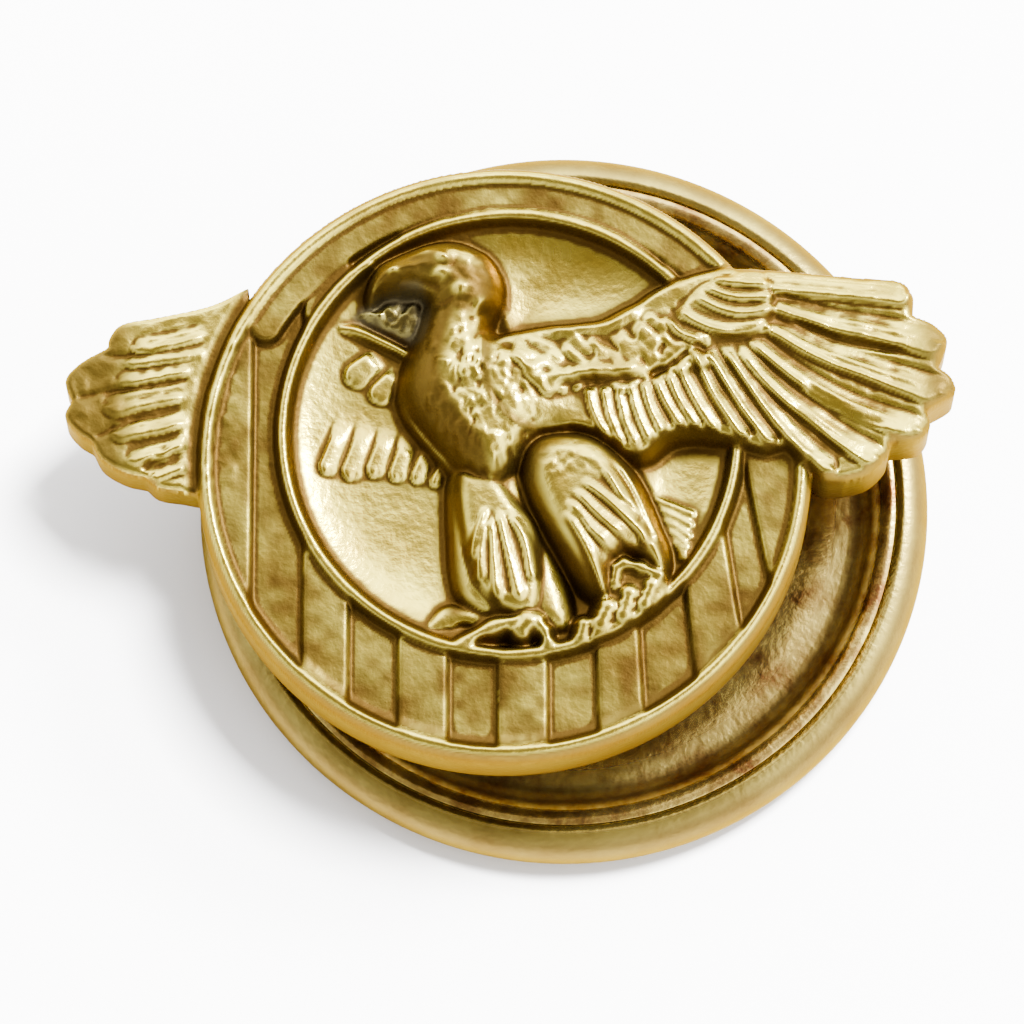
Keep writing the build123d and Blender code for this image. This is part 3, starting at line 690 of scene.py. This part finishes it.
def wear(r):
    """Softens the relief and roughens it finely; tarnishes its fine hollows and walls, also in random
    patches; paints shade into its wide hollows, the ring's flat field and the lower half of its outer
    edge; darkens the wing tips.
    """
    r.h = blurred(r.h, 1, 1)
    bumps = 0.004 * noise(r.x, r.y, 0.35, 73) + 0.0025 * noise(r.x, r.y, 0.17, 71)
    r.h += bumps + 0.0015 * noise(r.x, r.y, 0.08, 72)
    narrow = 0.9 * smooth(0.001, 0.018, blurred(r.h, 3) - r.h)
    # painted shade: darker in wide hollows beside the raised figures, like occlusion
    broad = 0.75 * smooth(0.03, 0.22, blurred(r.h, 10) - r.h)
    steep = 0.8 * smooth(0.5, 1.4, np.hypot(*np.gradient(blurred(r.h, 1, 1), GRID)))
    patches = 0.2 * smooth(0.1, 0.9, noise(r.x, r.y, 0.5, 74) + 0.5 * noise(r.x, r.y, 0.2, 75))
    radius = np.hypot(r.x, r.y)
    ring = (radius < 5.2) & (np.hypot(r.x - BOWL_X, r.y - BOWL_Y) > BOWL_RADIUS + 0.1)
    # the ring's flat field: painted shade standing for the dark reflection the flats show, mottled at
    # random like tarnish
    flat = np.abs(r.h - r.plain) < 0.03
    flat_darkening = 0.6 + 0.2 * noise(r.x, r.y, 0.9, 76) + 0.2 * noise(r.x, r.y, 0.25, 77)
    flat_shade_and_mottle = np.where(ring & flat, flat_darkening, 0)
    tips = 0.72 * np.maximum(smooth(-6.3, -7.1, r.x), smooth(7.0, 7.8, r.x))
    # painted shade: the outer shoulder darker along its lower half, towards the camera
    low_edge = 0.85 * smooth(5.38, 5.46, radius) * smooth(1, -1, r.y) * (radius < RING_RADIUS)
    for part in (narrow, broad, steep, patches, flat_shade_and_mottle, tips, low_edge):
        r.tarnish_shade = np.maximum(r.tarnish_shade, part)
    r.tarnish_shade = 1 - (1 - np.clip(r.tarnish_shade, 0, 1)) ** 2


def struck_relief(x, y):
    """The whole face of the emblem."""
    r = Relief(x, y)
    ring_and_field(r)
    r.plain = r.h.copy()
    bowl(r)
    far_wing_outside(r)
    far_wing_inside(r)
    far_leg_and_tail(r)
    body(r)
    near_wing(r)
    near_thigh(r)
    feet(r)
    draft(r)
    wear(r)
    return r


def emblem_mesh():
    """The struck face as a grid trimmed to the emblem's outline: points, faces, tarnish with painted
    shade, and grime.
    """
    reach = RING_RADIUS + 0.3
    xs = np.arange(-8.2, 8.35, GRID)
    ys = np.arange(-reach, reach, GRID)
    x, y = np.meshgrid(xs, ys, indexing="ij")
    left, right = outline_of(LEFT_WING), outline_of(RIGHT_WING)

    def inside_by(px, py):
        ring = RING_RADIUS - np.hypot(px, py)
        return np.maximum(np.maximum(ring, depth_in(px, py, left)), depth_in(px, py, right))

    depth = inside_by(x, y)
    kept = depth > 0.4 * GRID
    cell = kept[:-1, :-1] | kept[1:, :-1] | kept[:-1, 1:] | kept[1:, 1:]
    used = np.zeros(x.shape, bool)
    for a in (slice(None, -1), slice(1, None)):
        for b in (slice(None, -1), slice(1, None)):
            used[a, b] |= cell
    for _ in range(4):
        moving = used & ~kept
        here = inside_by(x[moving], y[moving])
        step = 1e-3
        gx = (inside_by(x[moving] + step, y[moving]) - here) / step
        gy = (inside_by(x[moving], y[moving] + step) - here) / step
        size = gx**2 + gy**2 + 1e-9
        x[moving] -= here * gx / size
        y[moving] -= here * gy / size
    r = struck_relief(x, y)
    index = np.full(x.shape, -1)
    index[used] = np.arange(used.sum())
    i, j = np.nonzero(cell)
    quads = np.stack([index[i, j], index[i + 1, j], index[i + 1, j + 1], index[i, j + 1]], 1)
    top = np.stack([x[used] + RING_X, y[used], r.h[used] + BACK_Z], 1)
    return top, quads, r.tarnish_shade[used], r.grime[used]


def rim_edges(quads):
    """The edges that only one face uses, each in its face's direction."""
    edges = np.concatenate([quads[:, [k, (k + 1) % 4]] for k in range(4)])
    key = np.sort(edges, 1)
    _, first, count = np.unique(key, axis=0, return_index=True, return_counts=True)
    return edges[first[count == 1]]


def make_object(name, points, faces, body, replaced):
    """A smooth-shaded mesh from points in millimetres, riding on a body in place of CAD nodes."""
    mesh = bpy.data.meshes.new(name)
    mesh.from_pydata((np.asarray(points) * MM).tolist(), [], faces)
    mesh.update()
    mesh.polygons.foreach_set("use_smooth", np.ones(len(mesh.polygons), bool))
    made = bpy.data.objects.new(name, mesh)
    bpy.context.scene.collection.objects.link(made)
    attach(made, body)
    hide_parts(*replaced)
    return made


def paint(made, layer, values):
    """One value for each of a mesh's points, which the brass reads by the layer's name."""
    made.data.attributes.new(layer, "FLOAT", "POINT").data.foreach_set("value", values)


def build_emblem():
    """The emblem as one closed mesh: its struck face, a straight side wall and a flat back."""
    top, quads, tarnish_and_shade, grime = emblem_mesh()
    rim = rim_edges(quads)
    after = {int(a): int(b) for a, b in rim}
    start = int(rim[0, 0])
    loop = [start]
    while after[loop[-1]] != start:
        loop.append(after[loop[-1]])
    top_count, rim_count, rows = len(top), len(loop), 3
    points = [top]
    for row in range(1, rows + 1):
        wall = top[loop].copy()
        wall[:, 2] = BACK_Z + (wall[:, 2] - BACK_Z) * (1 - row / rows)
        points.append(wall)
    faces = quads.tolist()
    above = loop
    for row in range(rows):
        below = [top_count + row * rim_count + k for k in range(rim_count)]
        for k in range(rim_count):
            j = (k + 1) % rim_count
            faces.append((above[j], above[k], below[k], below[j]))
        above = below
    faces.append(tuple(reversed(above)))
    emblem = make_object("emblem_relief", np.vstack(points), faces, "badge", ["emblem"])
    # the side wall is tarnished brown, and the flat back is painted dark as well: painted shade under
    # the emblem, which the dish mirrors
    wall_tarnish_and_back_shade = np.repeat([0.95, 0.97, 1.0], rim_count)
    paint(emblem, "tarnish_and_shade", np.concatenate([tarnish_and_shade, wall_tarnish_and_back_shade]))
    paint(emblem, "grime", np.concatenate([grime, np.zeros(rows * rim_count)]))
    # the back's rim stays a sharp edge
    first_back = top_count + (rows - 1) * rim_count
    ends = np.array([edge.vertices[:] for edge in emblem.data.edges])
    sharp = emblem.data.attributes.new("sharp_edge", "BOOLEAN", "EDGE")
    sharp.data.foreach_set("value", (ends >= first_back).all(1))
    return emblem


def lathe(name, profile, tarnish_and_shade, body, replaced):
    """A closed profile of (radius, height) turned round the post; tarnish_and_shade gives the brown of
    tarnish and painted shade as a function of radius.
    """
    profile = np.asarray(profile, float)
    angles = np.arange(SLICES) * 2 * math.pi / SLICES
    points = []
    for a in angles:
        radius, height = profile[:, 0], profile[:, 1]
        points.append(np.stack([POST_X + radius * math.cos(a), radius * math.sin(a), height], 1))
    count = len(profile)
    faces = []
    for i in range(SLICES):
        here, there = i * count, ((i + 1) % SLICES) * count
        for j in range(count):
            k = (j + 1) % count
            faces.append((here + j, there + j, there + k, here + k))
    made = make_object(name, np.vstack(points), faces, body, replaced)
    paint(made, "tarnish_and_shade", np.tile(tarnish_and_shade(profile[:, 0]), SLICES))
    return made


def arc(cx, cz, radius, start, end, steps):
    """Points of a circular arc, in degrees."""
    angle = np.radians(np.linspace(start, end, steps))
    return [(cx + radius * math.cos(t), cz + radius * math.sin(t)) for t in angle]


def build_nut():
    """The nut's two shells: a back rolled round the rim, and a front dish tucked under its edge."""
    outside = NUT_HIGH[0] - POST_X
    bead = (NUT_HIGH[2] - NUT_LOW[2]) / 2
    centre = outside - bead
    back = [(HUB_HOLE, SHEET), (HUB_HOLE, 0.03), (HUB_HOLE + 0.03, 0.0)]
    back += [(r, 0.0) for r in (2.6, 3.4, 4.2, 5.0, 5.6)]
    back += arc(centre, bead, bead, -90, 84, 28)
    back += arc(centre, bead, bead - 0.06, 92, 96, 2)
    back += arc(centre, bead, bead - SHEET, 90, -90, 12)
    back += [(5.0, SHEET), (3.4, SHEET)]

    # painted shade: the bead's outer side browned, standing for the darker reflection of the shaded
    # floor beside it
    def outer_side_shade(radius):
        return 0.86 * smooth(centre, centre + 0.4, radius)

    shell = lathe("nut_back", back[::-1], outer_side_shade, "nut_disc", ["nut_back_shell"])
    low = DISH_LOW[2]
    floor = low + SHEET
    dish = [(HUB_HOLE, low), (HUB_HOLE, floor + 0.05), (HUB_HOLE + 0.03, floor + 0.08)]
    for radius in (2.6, 3.0, 3.4, 3.8, 4.2, 4.6, 4.9):
        dish.append((radius, floor + 0.08 - 0.08 * smooth(2, 4, radius) + 0.05 * smooth(4, 5, radius)))
    rise = [(5.2, 0), (5.38, 0.03), (5.52, 0.13), (5.64, 0.29), (5.78, 0.4), (5.94, 0.44), (6.05, 0.41)]
    dish += [(r, floor + z) for r, z in curve(rise, 4).tolist()]
    dish += [(centre, floor + 0.3), (5.9, floor + 0.2), (5.7, floor), (5.5, low + 0.02), (5.3, low)]

    # painted shade: a dark brown ring in the crease at the foot of the dish's rise, near the emblem's
    # edge
    def recess_shade(radius):
        return 0.85 * smooth(5.05, 5.35, radius) * smooth(5.8, 5.6, radius)

    front = lathe("nut_front", dish[::-1], recess_shade, "nut_disc", ["nut_dish"])
    return shell, front


def principled(name):
    """A new material, with its nodes and links."""
    made = bpy.data.materials.new(name)
    made.use_nodes = True
    return made, made.node_tree.nodes, made.node_tree.links


def brass(name, light, dark, rough, patch=1.1):
    """Brass mottled between two tones, finely grained, browner and duller where it is tarnished or
    painted with shade.
    """
    made, nodes, links = principled(name)
    shader = nodes["Principled BSDF"]
    shader.inputs["Metallic"].default_value = 1.0
    shader.inputs["Specular Tint"].default_value = EDGE_TINT
    place = nodes.new("ShaderNodeTexCoord")
    broad = nodes.new("ShaderNodeTexNoise")
    broad.inputs["Scale"].default_value = 1 / (patch * MM)
    broad.inputs["Detail"].default_value = 5
    broad.inputs["Roughness"].default_value = 0.65
    links.new(place.outputs["Object"], broad.inputs["Vector"])
    tones = nodes.new("ShaderNodeValToRGB")
    tones.color_ramp.elements[0].position = 0.5 - MOTTLE_WIDTH / 2
    tones.color_ramp.elements[0].color = (*dark, 1)
    tones.color_ramp.elements[1].position = 0.5 + MOTTLE_WIDTH / 2
    tones.color_ramp.elements[1].color = (*light, 1)
    links.new(broad.outputs["Fac"], tones.inputs["Fac"])
    # the layer of tarnish and painted shade
    tarnish_shade_layer = nodes.new("ShaderNodeAttribute")
    tarnish_shade_layer.attribute_name = "tarnish_and_shade"
    mix = nodes.new("ShaderNodeMix")
    mix.data_type = "RGBA"
    mix.inputs["B"].default_value = (*TARNISH_AND_SHADE, 1)
    share = nodes.new("ShaderNodeMath")
    share.operation = "MULTIPLY"
    share.inputs[1].default_value = TARNISH_AND_SHADE_SHARE
    links.new(tarnish_shade_layer.outputs["Fac"], share.inputs[0])
    links.new(share.outputs["Value"], mix.inputs["Factor"])
    links.new(tones.outputs["Color"], mix.inputs["A"])
    dirty = nodes.new("ShaderNodeAttribute")
    dirty.attribute_name = "grime"
    soiled = nodes.new("ShaderNodeMix")
    soiled.data_type = "RGBA"
    soiled.inputs["B"].default_value = (*GRIME, 1)
    links.new(dirty.outputs["Fac"], soiled.inputs["Factor"])
    links.new(mix.outputs["Result"], soiled.inputs["A"])
    links.new(soiled.outputs["Result"], shader.inputs["Base Color"])
    dull = nodes.new("ShaderNodeMapRange")
    dull.inputs["To Min"].default_value = rough
    dull.inputs["To Max"].default_value = TARNISH_AND_SHADE_ROUGH
    links.new(tarnish_shade_layer.outputs["Fac"], dull.inputs["Value"])
    links.new(dull.outputs["Result"], shader.inputs["Roughness"])
    fine = nodes.new("ShaderNodeTexNoise")
    fine.inputs["Scale"].default_value = 1 / (GRAIN_SIZE * MM)
    fine.inputs["Detail"].default_value = 3
    links.new(place.outputs["Object"], fine.inputs["Vector"])
    push = nodes.new("ShaderNodeBump")
    push.inputs["Strength"].default_value = 0.5
    push.inputs["Distance"].default_value = GRAIN_HEIGHT * MM
    links.new(fine.outputs["Fac"], push.inputs["Height"])
    links.new(push.outputs["Normal"], shader.inputs["Normal"])
    return made


def plain(name, colour, rough, metallic=0.0):
    """A material of one colour."""
    made, nodes, _ = principled(name)
    shader = nodes["Principled BSDF"]
    shader.inputs["Base Color"].default_value = (*colour, 1)
    shader.inputs["Roughness"].default_value = rough
    shader.inputs["Metallic"].default_value = metallic
    return made


def floor_sheet():
    """The plain pale surface that the badge lies on, staged and not part of it."""
    side = 0.25
    mesh = bpy.data.meshes.new("floor")
    corners = [(-side, -side, 0), (side, -side, 0), (side, side, 0), (-side, side, 0)]
    mesh.from_pydata(corners, [], [(0, 1, 2, 3)])
    ground = bpy.data.objects.new("floor", mesh)
    bpy.context.scene.collection.objects.link(ground)
    ground.location.z = -0.00001  # just clear of the nut's back
    ground.data.materials.append(plain("floor_white", (0.94, 0.94, 0.94), 0.8))


def room():
    """The room's light: brightest towards WINDOW, and dark overhead, where the camera would be."""
    world = bpy.data.worlds.new("room")
    bpy.context.scene.world = world
    world.use_nodes = True
    nodes, links = world.node_tree.nodes, world.node_tree.links
    place = nodes.new("ShaderNodeTexCoord")
    facing = nodes.new("ShaderNodeVectorMath")
    facing.operation = "DOT_PRODUCT"
    facing.inputs[1].default_value = Vector(DARK).normalized()
    links.new(place.outputs["Generated"], facing.inputs[0])
    ramp = nodes.new("ShaderNodeValToRGB")
    links.new(facing.outputs["Value"], ramp.inputs["Fac"])
    stops = ramp.color_ramp.elements
    stops[0].position, stops[1].position = 0.0, 1.0
    for k, (angle, level) in enumerate(ROOM_LEVELS):
        position = math.cos(math.radians(angle))
        stop = stops[0] if k == 0 else stops[-1] if k == len(ROOM_LEVELS) - 1 else stops.new(position)
        warm = 1 - smooth(0.1, 0.9, level)
        stop.color = (level, level * (1 - 0.16 * warm), level * (1 - 0.3 * warm), 1)
    toward = nodes.new("ShaderNodeVectorMath")
    toward.operation = "DOT_PRODUCT"
    toward.inputs[1].default_value = Vector(WINDOW).normalized()
    links.new(place.outputs["Generated"], toward.inputs[0])
    sides = nodes.new("ShaderNodeMapRange")
    sides.interpolation_type = "SMOOTHSTEP"
    sides.inputs["From Min"].default_value = -0.6
    sides.inputs["To Min"].default_value = FAR_SHARE
    sides.inputs["To Max"].default_value = WINDOW_SHARE
    links.new(toward.outputs["Value"], sides.inputs["Value"])
    strength = nodes.new("ShaderNodeMath")
    strength.operation = "MULTIPLY"
    strength.inputs[1].default_value = ROOM_STRENGTH
    links.new(sides.outputs["Result"], strength.inputs[0])
    links.new(ramp.outputs["Color"], nodes["Background"].inputs["Color"])
    links.new(strength.outputs["Value"], nodes["Background"].inputs["Strength"])


def lamp(name, place, size, power, glint=True):
    """A square lamp that faces the badge; without glint, the metal does not mirror it."""
    light = bpy.data.lights.new(name, "AREA")
    light.size = size
    light.energy = power
    holder = bpy.data.objects.new(name, light)
    holder.location = place
    holder.rotation_mode = "QUATERNION"
    holder.rotation_quaternion = (Vector((0, 0, 0.003)) - Vector(place)).to_track_quat("-Z", "Y")
    holder.visible_glossy = glint
    bpy.context.scene.collection.objects.link(holder)


def camera():
    """A long lens 75 degrees above the table, from the foot of the emblem."""
    distance, width = 130.0, 18.31
    elevation = math.radians(75)
    up = Vector((0, math.sin(elevation), math.cos(elevation)))
    back = Vector((0, -math.cos(elevation), math.sin(elevation)))
    aim = Vector((RING_X + 0.139, 0, BACK_Z + 1.0)) - up * 0.869
    lens = bpy.data.cameras.new("camera")
    lens.sensor_width = 36
    lens.lens = 36 * distance / width
    holder = bpy.data.objects.new("camera", lens)
    holder.location = (aim + back * distance) * MM
    holder.rotation_mode = "QUATERNION"
    holder.rotation_quaternion = (-back).to_track_quat("-Z", "Y")
    lens.clip_start, lens.clip_end = 0.005, 2
    bpy.context.scene.collection.objects.link(holder)
    bpy.context.scene.camera = holder


camera()
emblem = build_emblem()
shell, front = build_nut()
gold = brass("struck_brass", (0.84, 0.71, 0.10), (0.64, 0.49, 0.06), 0.18)
shell_metal = brass("rolled_brass", (0.62, 0.50, 0.11), (0.42, 0.32, 0.07), 0.22)
dish_metal = brass("tarnished_brass", (0.84, 0.66, 0.17), (0.22, 0.10, 0.03), 0.25, patch=0.9)
solder = plain("solder", (0.5, 0.5, 0.48), 0.35, metallic=1.0)
emblem.data.materials.append(gold)
shell.data.materials.append(shell_metal)
front.data.materials.append(dish_metal)
for node, metal in (("screw_post", shell_metal), ("nut_hub", shell_metal), ("post_solder", solder)):
    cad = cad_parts[node]
    cad.data.materials.clear()
    cad.data.materials.append(metal)
floor_sheet()
room()
lamp("key", (0.085, 0.075, 0.27), 0.08, 8.5, glint=False)
lamp("spark", (0.17, 0.12, 0.2), 0.06, 2)
